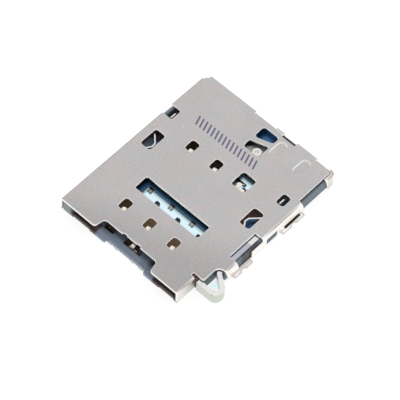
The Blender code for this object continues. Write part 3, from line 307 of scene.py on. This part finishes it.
def rolled_steel(name, ink):
    """Satin sheet with bright cut edges, tinned feet, ink, and painted light and shade."""
    material, shader, place = start_material(name, 0.34, 1.0)
    x, y, z = place.split()
    cloud = place.noise(0.9, 4.0, 0.65)
    streak = place.stretched(0.6, 7.0, 7.0).noise(1.0, 3.0, 0.6)
    grain = place.noise(5.0, 4.0, 0.75)
    colour = cloud.above(0.5, 0.12).mix(COOL_STEEL, WARM_STEEL)
    # Painted shade: the sheet is a little darker towards the near corner.
    off_the_near_corner = (y - 0.4 * x).above(-5.2, 2.6)
    shade = 0.52 + 0.03 * streak + 0.46 * grain + 0.12 * place.noise(0.35)
    colour = colour.scaled(shade + 0.20 * off_the_near_corner)
    scuffed = scuffs(place) * 0.60
    colour = scuffed.mix(colour, SCUFF_STEEL)
    up = steepness(place)
    flat = up.above(0.60, 0.20)
    # Walls and cut edges: brighter sheared metal, plus a painted reflection of the table on the
    # walls.
    colour = flat.mix(CUT_EDGE_AND_WALL_SHEEN, colour)
    # Painted shade, mottled, on the wrapped back corner above its foot.
    tab = box_mask(x, y, TAB_CORNER, 0.03) * (0.35 + 0.65 * grain.above(0.5, 0.1))
    colour = (tab * z.above(FOOT_TOP, 0.1)).mix(colour, TAB_CORNER_SHADE)
    # The back tab painted an even green grey: painted shade with a green painted reflection.
    colour = box_mask(x, y, BACK_TAB, 0.02).mix(colour, BACK_TAB_SHADE)
    # Painted shade on the nose wall, deepest towards its back by the hook.
    nose = box_mask(x, y, NOSE_WALL, 0.05) * (1 - flat) * (0.4 + 0.6 * y.above(-6.9, 0.7))
    colour = nose.mix(colour, NOSE_WALL_SHADE)
    # Painted shade along the fold between the top and the walls.
    fold = up.above(0.55, 0.10) * (1 - up.above(0.92, 0.05)) * z.above(1.0, 0.1)
    colour = (0.85 * fold).mix(colour, FOLD_AND_RIM_SHADE)
    rim, front_rim, back_rim = near_edges(place, 0.13)
    low = 1 - z.above(FOOT_TOP, 0.06)
    colour = (low * flat).mix(colour, TINNED_STEEL)
    pressed = 1 - z.above(PRESSED_TOP, 0.01)
    # Rims: the brighter cut edge plus a painted highlight, strongest on those that face front.
    colour = ((0.3 * rim + 0.7 * front_rim) * (1 - low)).mix(colour, RIM_HIGHLIGHT)
    # Painted shade on the back-facing rims of the pressed recesses, then around the edges of the
    # feet.
    colour = (0.8 * back_rim * pressed * flat * (1 - low)).mix(colour, FOLD_AND_RIM_SHADE)
    colour = (0.45 * rim * low).mix(colour, FOLD_AND_RIM_SHADE)
    foot_slot = box_mask(x, y, FOOT_SLOT, 0.02) * (1 - z.above(0.36, 0.01))
    colour = foot_slot.mix(colour, SLOT_SHADE)
    strokes, ground = ink(place)
    inked = strokes * flat
    colour = (0.55 * ground * flat).mix(colour, INK_HALO)
    colour = inked.mix(colour, INK)
    roughness = 0.27 + 0.10 * grain + 0.08 * cloud + 0.25 * inked
    plug(shader, Base_Color=colour, Roughness=roughness, Metallic=1 - 0.85 * inked)
    plug(shader, Normal=bump(streak + grain, 0.0015))
    return material


print("rolled steel: three greys for the faces, and lines for folds and rims")

# %% [markdown]
# ## A row of ink strokes
# An inkjet printed a dark blue row across the cover before it was folded. Here the row is plain
# slanted strokes, all alike, that spell nothing. A stroke is a formula in the row's own
# coordinates, so no drawing is needed, and a fine wave along it breaks it into the dots of the ink.

# %% Ink strokes
INK = (0.040, 0.042, 0.085)
INK_HALO = (0.62, 0.60, 0.68)
INK_ROW = (-3.98, 2.42, 4.26, 5.16)
INK_STROKES = 16


def ink_strokes(place):
    """Two masks: the strokes, and the paler ground they stand on."""
    left, right, front, back = INK_ROW
    x, y, z = place.split()
    up = (y - front) * (1 / (back - front))
    along = (x - left + 0.30 * up) * (INK_STROKES / (right - left))
    inside = along - place.math("FLOOR", along)
    off_middle = distance(inside, 0.5)
    ends = up.above(0.03, 0.04) * (1 - up.above(0.97, 0.04))
    row = along.above(0.0, 0.02) * (1 - along.above(INK_STROKES, 0.02)) * z.above(1.3, 0.02) * ends
    dots = place.math("SINE", up * 38.0) * 0.5 + 0.5
    stroke = 1 - (off_middle + 0.10 * place.noise(6.0)).above(0.25, 0.06)
    return stroke * row * (0.60 + 0.40 * dots), row


print("ink row of", INK_STROKES, "strokes,", round(INK_ROW[1] - INK_ROW[0], 2), "mm long")

# %% [markdown]
# ## Moulded plastic
# The housing is a glass-filled plastic in a cool blue grey. Its skin has a fine cloudy texture from
# the mould and a soft sheen. Seen through the windows it is painted with the light and shade it
# gets there: a painted reflection of warm brown under the gold, painted navy light and a black
# painted shadow in the long slot, painted shade under the cover's edges, and brown, deep blue and
# nearly black patches of painted light and shade beside the springs. A list of these painted
# patches says where and how.

# %% Moulded plastic
SKIN = (0.082, 0.118, 0.152)
SKIN_PALE = (0.100, 0.135, 0.168)
SKIN_SPECK = (0.17, 0.21, 0.25)
# Patches of painted shadow, painted reflection and painted pools of light, by place.
PAINTED_LIGHT_AND_SHADE = (
    ("under the back contacts", (0.110, 0.075, 0.050), (-3.6, 1.25, 1.3, 4.6), 0.1),
    ("under the front contacts", (0.400, 0.265, 0.155), (-1.2, 3.4, -6.2, -3.35), 0.1),
    ("under the left front contact", (0.200, 0.130, 0.080), (-3.6, -1.2, -6.2, -3.35), 0.1),
    ("back of the long slot", (0.050, 0.140, 0.255), (-3.4, 3.6, -1.95, -0.5), 0.1),
    ("left end of the long slot", (0.035, 0.150, 0.300), (-4.2, -2.95, -3.4, -1.6), 0.1),
    ("shadow at the back of the slot", (0.003, 0.008, 0.018), (-3.6, 3.6, -1.70, -0.5), 0.20),
    ("shadow at the left end of the slot", (0.003, 0.008, 0.018), (-4.2, -3.22, -3.4, -0.5), 0.14),
    ("middle of the notch", (0.060, 0.042, 0.036), (-0.80, 0.62, -6.90, -6.2), 0.1),
    ("left of the notch", (0.060, 0.070, 0.055), (-2.9, -1.7, -6.80, -6.2), 0.1),
    ("ledge of the notch", (0.200, 0.245, 0.320), (-3.0, 3.0, -8.0, -6.95), 0.15),
    ("right end of the notch", (0.070, 0.050, 0.050), (1.9, 3.2, -7.1, -6.3), 0.25),
    ("teeth of the long slot", (0.022, 0.030, 0.026), (-3.0, 3.4, -3.4, -2.40), 0.05),
    ("under the lever's window", (0.010, 0.052, 0.160), (-0.3, 6.2, 7.15, 8.2), 0.1),
    ("middle of the lever's window", (0.135, 0.430, 0.860), (0.40, 1.25, 7.0, 7.92), 0.28),
    ("under the lever", (0.010, 0.018, 0.014), (-0.9, 6.2, 4.8, 7.15), 0.05),
    ("behind the cover's back edge", (0.045, 0.035, 0.028), (-8.0, 6.0, 8.25, 9.0), 0.1),
    ("behind the wrapped corner", (0.42, 0.40, 0.36), (6.3, 7.2, 8.05, 9.0), 0.1),
    ("right lock bay", (0.240, 0.140, 0.120), (4.2, 6.3, -1.2, 2.6), 0.1),
    ("left lock bay", (0.080, 0.072, 0.085), (-6.3, -4.2, -1.2, 2.6), 0.1),
    ("pale end of the left lock bay", (0.200, 0.280, 0.360), (-5.88, -5.0, 0.2, 1.50), 0.12),
    ("blue corner of the right lock bay", (0.060, 0.190, 0.480), (4.98, 5.75, 0.2, 1.2), 0.08),
    ("back of the wide window", (0.006, 0.022, 0.028), (0.9, 3.6, 3.75, 4.8), 0.1),
    ("left of the wide window", (0.006, 0.022, 0.028), (0.9, 1.75, 2.0, 4.8), 0.1),
    ("right spring bay", (0.110, 0.080, 0.082), (5.3, 6.35, 3.1, 4.6), 0.1),
    ("left spring bay", (0.028, 0.026, 0.026), (-6.10, -5.3, 3.1, 4.6), 0.05),
    ("left rail at the notch", (0.34, 0.37, 0.37), (-6.6, -6.30, 3.1, 4.6), 0.08),
    ("left end of the front", (0.190, 0.225, 0.225), (-6.7, -5.55, -8.0, -6.6), 0.15),
    ("right rail behind the rod", (0.030, 0.034, 0.036), (6.7, 7.2, -2.05, -0.2), 0.15),
    ("left of the mouth", (0.050, 0.030, 0.024), (-5.35, -2.9, -8.0, -7.0), 0.1),
    ("right of the mouth", (0.050, 0.026, 0.024), (3.1, 5.60, -8.0, -7.0), 0.1),
    ("behind the slot in the foot", (0.150, 0.115, 0.080), (6.6, 7.2, 2.5, 4.62), 0.1),
    ("in the slit by the loop", (0.110, 0.060, 0.055), (5.2, 6.4, -6.1, -5.6), 0.1),
)


def moulded_plastic(name):
    """Blue grey plastic with a fine skin and the list's patches of painted light and shade."""
    material, shader, place = start_material(name, 0.42, 0.0)
    cloud = place.noise(0.8, 2.0)
    skin = place.noise(22.0, 3.0, 0.6)
    colour = cloud.above(0.5, 0.25).mix(SKIN, SKIN_PALE)
    colour = (skin.above(0.62, 0.10) * 0.35).mix(colour, SKIN_SPECK)
    x, y = place.split()[:2]
    for where, stain_and_painted_light, edges, blur in PAINTED_LIGHT_AND_SHADE:
        colour = box_mask(x, y, edges, blur).mix(colour, stain_and_painted_light)
    roughness = 0.34 + 0.22 * skin
    plug(shader, Base_Color=colour, Roughness=roughness, Normal=bump(skin, 0.004))
    return material


print("plastic: blue grey, with", len(PAINTED_LIGHT_AND_SHADE), "tinted patches")

# %% [markdown]
# ## Gold plating
# The contacts are spring bronze with gold over nickel. The domed tips are burnished to a pale cream
# by the press, and a painted highlight lies on their tops as well; the beams are deeper yellow, and
# the solder tails are greyed by tin. Low in the slot, in the notch and in the wide window the gold
# mirrors the dark plastic around it, so there it is painted dark as painted reflection and shade.
# Two painted glints sit in the notch, and the tails in the slot get painted shade along their rims.

# %% Gold plating
BRONZE = (0.86, 0.58, 0.24)
GOLD = (0.94, 0.70, 0.36)
BACK_TIP_WEAR_AND_HIGHLIGHT = (1.0, 0.94, 0.85)
FRONT_TIP_WEAR_AND_HIGHLIGHT = (1.0, 0.90, 0.76)
NOTCH_GOLD_SHADE = (0.16, 0.11, 0.07)
SLOT_GOLD_SHADE = (0.02, 0.022, 0.025)
WINDOW_GOLD_SHADE = (0.20, 0.19, 0.165)
GLINT = (1.0, 0.86, 0.76)
TAIL_TIN = (0.97, 1.0, 1.0)
TAIL_RIM_SHADE = (0.05, 0.06, 0.07)
GLINT_PLACES = ((-0.25, 0.12, 0.10, 0.38), (0.20, 0.55, 0.10, 0.38))


def gold_plating(name):
    """Gold with worn and lit cream tips, tinned tails, painted glints, and painted shade down low."""
    material, shader, place = start_material(name, 0.24, 1.0)
    x, y, height = place.split()
    wear = place.noise(5.0, 3.0)
    colour = wear.mix(BRONZE, GOLD)
    # Tops of the domes: plating worn pale, plus a painted highlight.
    tips = y.above(0.0, 0.1).mix(FRONT_TIP_WEAR_AND_HIGHLIGHT, BACK_TIP_WEAR_AND_HIGHLIGHT)
    colour = (height + 0.06 * wear).above(0.93, 0.08).mix(colour, tips)
    # Gold low in the notch and the slot: painted reflection of the dark plastic, and painted shade.
    in_notch = (1 - y.above(-6.30, 0.10)) * (1 - height.above(0.62, 0.06))
    in_slot = box_mask(height, y, (0.15, 0.90, -2.10, -0.90), 0.02)
    colour = in_notch.mix(colour, NOTCH_GOLD_SHADE)
    colour = in_slot.mix(colour, SLOT_GOLD_SHADE)
    left_glint, right_glint = (box_mask(x, height, edges, 0.02) for edges in GLINT_PLACES)
    colour = ((left_glint + right_glint) * in_notch).mix(colour, GLINT)
    # Painted shade on the gold low in the wide window.
    in_window = box_mask(x, y, (1.3, 3.5, 0.8, 4.3), 0.02) * (1 - height.above(0.78, 0.05))
    colour = in_window.mix(colour, WINDOW_GOLD_SHADE)
    tinned = 1 - (height + 0.05 * wear).above(0.16, 0.03)
    colour = tinned.mix(colour, TAIL_TIN)
    rim = near_edges(place, 0.05)[0]
    # Painted shade along the rims of the tails in the slot.
    colour = (rim * tinned * y.above(-3.0, 0.1)).mix(colour, TAIL_RIM_SHADE)
    roughness = 0.16 + 0.14 * wear + 0.2 * tinned
    plug(shader, Base_Color=colour, Roughness=roughness, Metallic=1 - 0.9 * tinned)
    plug(shader, Normal=bump(place.noise(30.0), 0.001))
    return material


print("gold: bronze yellow, cream tips, grey tails")

# %% [markdown]
# ## Drawn bright strip
# The push rod, the lock springs, the lever and the rivet come from strip that was rolled bright.
# Fine lines run along it, and it is a touch warmer than the cover. A wall that stands in a deep bay
# mirrors the bay, so a strip's walls can be painted a second colour as painted reflection and
# shade, and it takes patches of painted shade where something shades it.

# %% Bright strip
def bright_strip(name, colour, grey, roughness=0.22, walls=None, wall_metal=1.0, shades=()):
    """Fine lines along Y, patches of painted shade, and walls painted as reflection and shade."""
    material, shader, place = start_material(name, roughness, 1.0)
    drawn = place.stretched(14.0, 0.8, 14.0).noise(1.0, 3.0, 0.6)
    stain_and_painted_light = place.noise(1.1, 3.0)
    mixed = (0.6 * stain_and_painted_light.above(0.52, 0.14)).mix(colour, grey)
    x, y = place.split()[:2]
    for tint, edges, blur in shades:
        mixed = box_mask(x, y, edges, blur).mix(mixed, tint)
    # Walls painted a colour of their own: painted reflection and shade of the bay they stand in.
    if walls is not None:
        flat = steepness(place).above(0.5, 0.1)
        mixed = flat.mix(walls, mixed)
        plug(shader, Metallic=wall_metal + (1 - wall_metal) * flat)
    mixed = mixed.scaled(0.90 + 0.16 * drawn)
    matt = roughness - 0.05 + 0.14 * drawn
    plug(shader, Base_Color=mixed, Roughness=matt, Normal=bump(drawn, 0.002))
    return material


print("strip: fine lines along Y")

# %% [markdown]
# ## Softer edges
# No real edge is perfectly sharp, and on metal this small the thin bright line along an edge is
# most of what the eye sees. The solids have knife edges, so each one is copied, its loose triangles
# are joined, and every sharp edge gets a narrow bevel. Where the faces are simple, the triangles on
# a flat are cleared away first, because their lines would show in the steel. The housing's floor
# has so many openings that one big face would fold over them, so its triangles stay. On the metal
# the bevel is under half of the smallest step, which is 0.02 mm, and on the plastic it is a little
# wider. The copy takes the solid's place and its body.

# %% Copy a solid and soften it
FINE_EDGE = 0.008
PLASTIC_EDGE = 0.012


def select_only(piece):
    """One piece selected and active, as the mesh operators need it."""
    bpy.ops.object.select_all(action="DESELECT")
    piece.select_set(True)
    bpy.context.view_layer.objects.active = piece


def softened(node, body, material, width, clear_flats=True):
    """A solid's copy with narrow bevels this many millimetres wide, riding on its body."""
    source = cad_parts[node]
    piece = bpy.data.objects.new(node + "_finished", source.data.copy())
    bpy.context.scene.collection.objects.link(piece)
    select_only(piece)
    bpy.ops.object.mode_set(mode="EDIT")
    bpy.ops.mesh.select_mode(type="EDGE")
    bpy.ops.mesh.select_all(action="SELECT")
    bpy.ops.mesh.remove_doubles(threshold=0.000001)
    if clear_flats:
        bpy.ops.mesh.dissolve_limited(angle_limit=math.radians(0.5))
    bpy.ops.mesh.select_all(action="DESELECT")
    bpy.ops.mesh.edges_select_sharp(sharpness=math.radians(38))
    bpy.ops.mesh.bevel(offset=width * MM, segments=2, profile=0.5, clamp_overlap=False)
    bpy.ops.object.mode_set(mode="OBJECT")
    bpy.ops.object.shade_smooth_by_angle(angle=math.radians(50))
    bpy.ops.object.modifier_add(type="WEIGHTED_NORMAL")
    piece.modifiers[0].keep_sharp = True
    piece.modifiers[0].weight = 100
    bpy.ops.object.modifier_apply(modifier=piece.modifiers[0].name)
    piece.data.materials.clear()
    piece.data.materials.append(material)
    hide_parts(node)
    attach(piece, body)
    print("%-26s %6d faces" % (piece.name, len(piece.data.polygons)))


print("edges: %.3f mm on the metal, %.3f mm on the plastic" % (FINE_EDGE, PLASTIC_EDGE))

# %% The cover and the housing
steel = rolled_steel("cover_sheet", ink_strokes)
softened("cover_shell", "socket", steel, FINE_EDGE)
plastic = moulded_plastic("housing_plastic")
softened(
    "insulator_housing", "socket", plastic, PLASTIC_EDGE, clear_flats=False,
)

# %% [markdown]
# ## The springs and the moving pieces
# The contacts share one finish but each keeps its own copy, so that one can be changed without the
# others. The rod's lines run along Y, the way it slides; its walls are painted grey green as
# painted shade, and a painted lavender shade lies on it in the side window. The two lock springs
# have a finish each, because the left one's walls are painted dark as painted shade of its dark
# bay and the right one's blue as painted reflection of its blue bay; both are painted dark towards
# their ends as painted shade. The lever is a darker green grey, and the rivet's ring is nearly
# white.

# %% Contacts
gold = gold_plating("contact_gold")
for node in sorted(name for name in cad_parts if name.startswith(("contact_", "detect_"))):
    softened(node, "socket", gold, FINE_EDGE)

# %% Rod, springs, lever and rivet
ROD_WALL_SHADE = (0.62, 0.65, 0.58)
ROD_SHADES = (((0.56, 0.57, 0.65), (6.2, 6.9, -3.2, -0.75), 0.12),)
LEAF_COLOURS = ((0.88, 0.88, 0.87), (0.78, 0.79, 0.80))
LEFT_WALL_SHADE = (0.070, 0.060, 0.066)
RIGHT_WALL_REFLECTION = (0.150, 0.270, 0.460)
LEAF_DARK = (0.05, 0.045, 0.045)
LEAF_SHADES = (
    (LEAF_DARK, (-7.0, 7.0, 2.6, 3.52), 0.03),
    (LEAF_DARK, (-7.0, 7.0, 4.06, 4.9), 0.03),
)
LEFT_SHADES = (*LEAF_SHADES, (LEAF_DARK, (-7.0, 0.0, 1.50, 2.6), 0.08))

rod_metal = bright_strip(
    "rod_steel", (0.96, 0.93, 0.92), (0.84, 0.83, 0.86), walls=ROD_WALL_SHADE, shades=ROD_SHADES,
)
left_leaf = bright_strip(
    "left_leaf_steel", *LEAF_COLOURS, walls=LEFT_WALL_SHADE, wall_metal=0.1, shades=LEFT_SHADES,
)
right_leaf = bright_strip(
    "right_leaf_steel", *LEAF_COLOURS, walls=RIGHT_WALL_REFLECTION, wall_metal=0.1, shades=LEAF_SHADES,
)
lever_metal = bright_strip(
    "lever_steel", (0.35, 0.39, 0.355), (0.28, 0.32, 0.30), roughness=0.36,
)
rivet_metal = bright_strip(
    "rivet_steel", (0.93, 0.89, 0.87), (0.85, 0.82, 0.80), roughness=0.20,
)
softened("push_rod", "rod", rod_metal, FINE_EDGE)
softened("lock_spring_left", "socket", left_leaf, FINE_EDGE)
softened("lock_spring_right", "socket", right_leaf, FINE_EDGE)
softened("eject_lever", "lever", lever_metal, FINE_EDGE)
softened("lever_rivet", "socket", rivet_metal, FINE_EDGE)

# %% [markdown]
# ## The floor and the light
# The socket lies on a white table that glows a little from below, as a photographer's light table
# does: that is why the openings show bright and the shadow is faint. Under the housing the table's
# glow is painted dark as painted shade, apart from painted pools of light under the long slot, the
# wide window and the rod's loop.
# The air above is darker than the horizon, so the flat top reflects a middle grey while the walls,
# which face the table, turn almost white.

# %% Floor
TABLE_GLOW = (0.80, 0.80, 0.80)
UNDER_GLOW = (0.62, 0.81, 0.87)
UNDER_SHADE = (0.012, 0.050, 0.070)
FOOTPRINT = (0.20, 0.20, 4.3, 4.2)
LIT_PLACES = (
    ("under the long slot", (0.12, -2.70, 3.02, 0.76)),
    ("under the wide window", (2.70, 2.90, 0.96, 0.96)),
    ("inside the rod's loop", (6.72, -4.72, 0.22, 0.30)),
)

bpy.ops.object.select_all(action="DESELECT")
bpy.ops.mesh.primitive_plane_add(size=2.0, location=(0.0, 0.0, -0.01 * MM))
floor = bpy.context.object
floor.name = "white_table"
table = bpy.data.materials.new("white_table")
table.use_nodes = True
surface = table.node_tree.nodes["Principled BSDF"]
surface.inputs["Base Color"].default_value = (0.25, 0.25, 0.25, 1.0)
surface.inputs["Roughness"].default_value = 0.9
surface.inputs["Emission Strength"].default_value = 1.0
metres = add_node(table.node_tree, "ShaderNodeTexCoord", output=3)
across, along = metres.stretched(1 / MM, 1 / MM, 1 / MM).split()[:2]


def outside(rectangle):
    """How far a place is outside a rectangle given as its middle and its half sizes."""
    middle_x, middle_y, half_x, half_y = rectangle
    past_x = distance(across, middle_x) - half_x
    past_y = distance(along, middle_y) - half_y
    return across.math("MAXIMUM", past_x, past_y)


# Painted shade under the housing and painted pools of light below its openings.
ground = outside(FOOTPRINT).above(0.0, 0.4).mix(UNDER_SHADE, TABLE_GLOW)
for where, rectangle in LIT_PLACES:
    ground = outside(rectangle).above(0.0, 0.24).mix(UNDER_GLOW, ground)
plug(surface, Emission_Color=ground)
floor.data.materials.append(table)
floor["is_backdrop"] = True
print("white table, dark under the housing and lit in", len(LIT_PLACES), "places")

# %% World and lamps
HORIZON = (1.0, 0.99, 0.98)
ZENITH = (0.86, 0.86, 0.87)

world = bpy.data.worlds.new("studio")
bpy.context.scene.world = world
world.use_nodes = True
sky = world.node_tree.nodes["Background"]
direction = add_node(world.node_tree, "ShaderNodeTexCoord", output=0)
height = direction.split()[2]
air = height.above(0.50, 0.35).mix(HORIZON, ZENITH)
world.node_tree.links.new(air.socket, sky.inputs["Color"])


def softbox(name, place_mm, size_mm, watts):
    """A square lamp that looks at the socket."""
    lamp = bpy.data.lights.new(name, "AREA")
    lamp.size = size_mm * MM
    lamp.energy = watts
    box = bpy.data.objects.new(name, lamp)
    box.location = Vector(place_mm) * MM
    box.rotation_mode = "QUATERNION"
    box.rotation_quaternion = (-box.location).to_track_quat("-Z", "Y")
    bpy.context.scene.collection.objects.link(box)


softbox("side_softbox", (130.0, 90.0, 200.0), 160.0, 0.05)
bpy.context.scene.view_settings.view_transform = "Standard"
print("one sky, darker above, and one lamp")

# %% [markdown]
# ## The size of the dressed part
# The dressed part must not grow past the solids. Both boxes are printed as spans in millimetres.

# %% Sizes
dressed_box = [list(corner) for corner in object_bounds()]
for label, corners in (("solids", cad_box), ("dressed", dressed_box)):
    spans = [round((b - a) / MM, 3) for a, b in zip(*corners)]
    print(label, "span in mm:", spans)
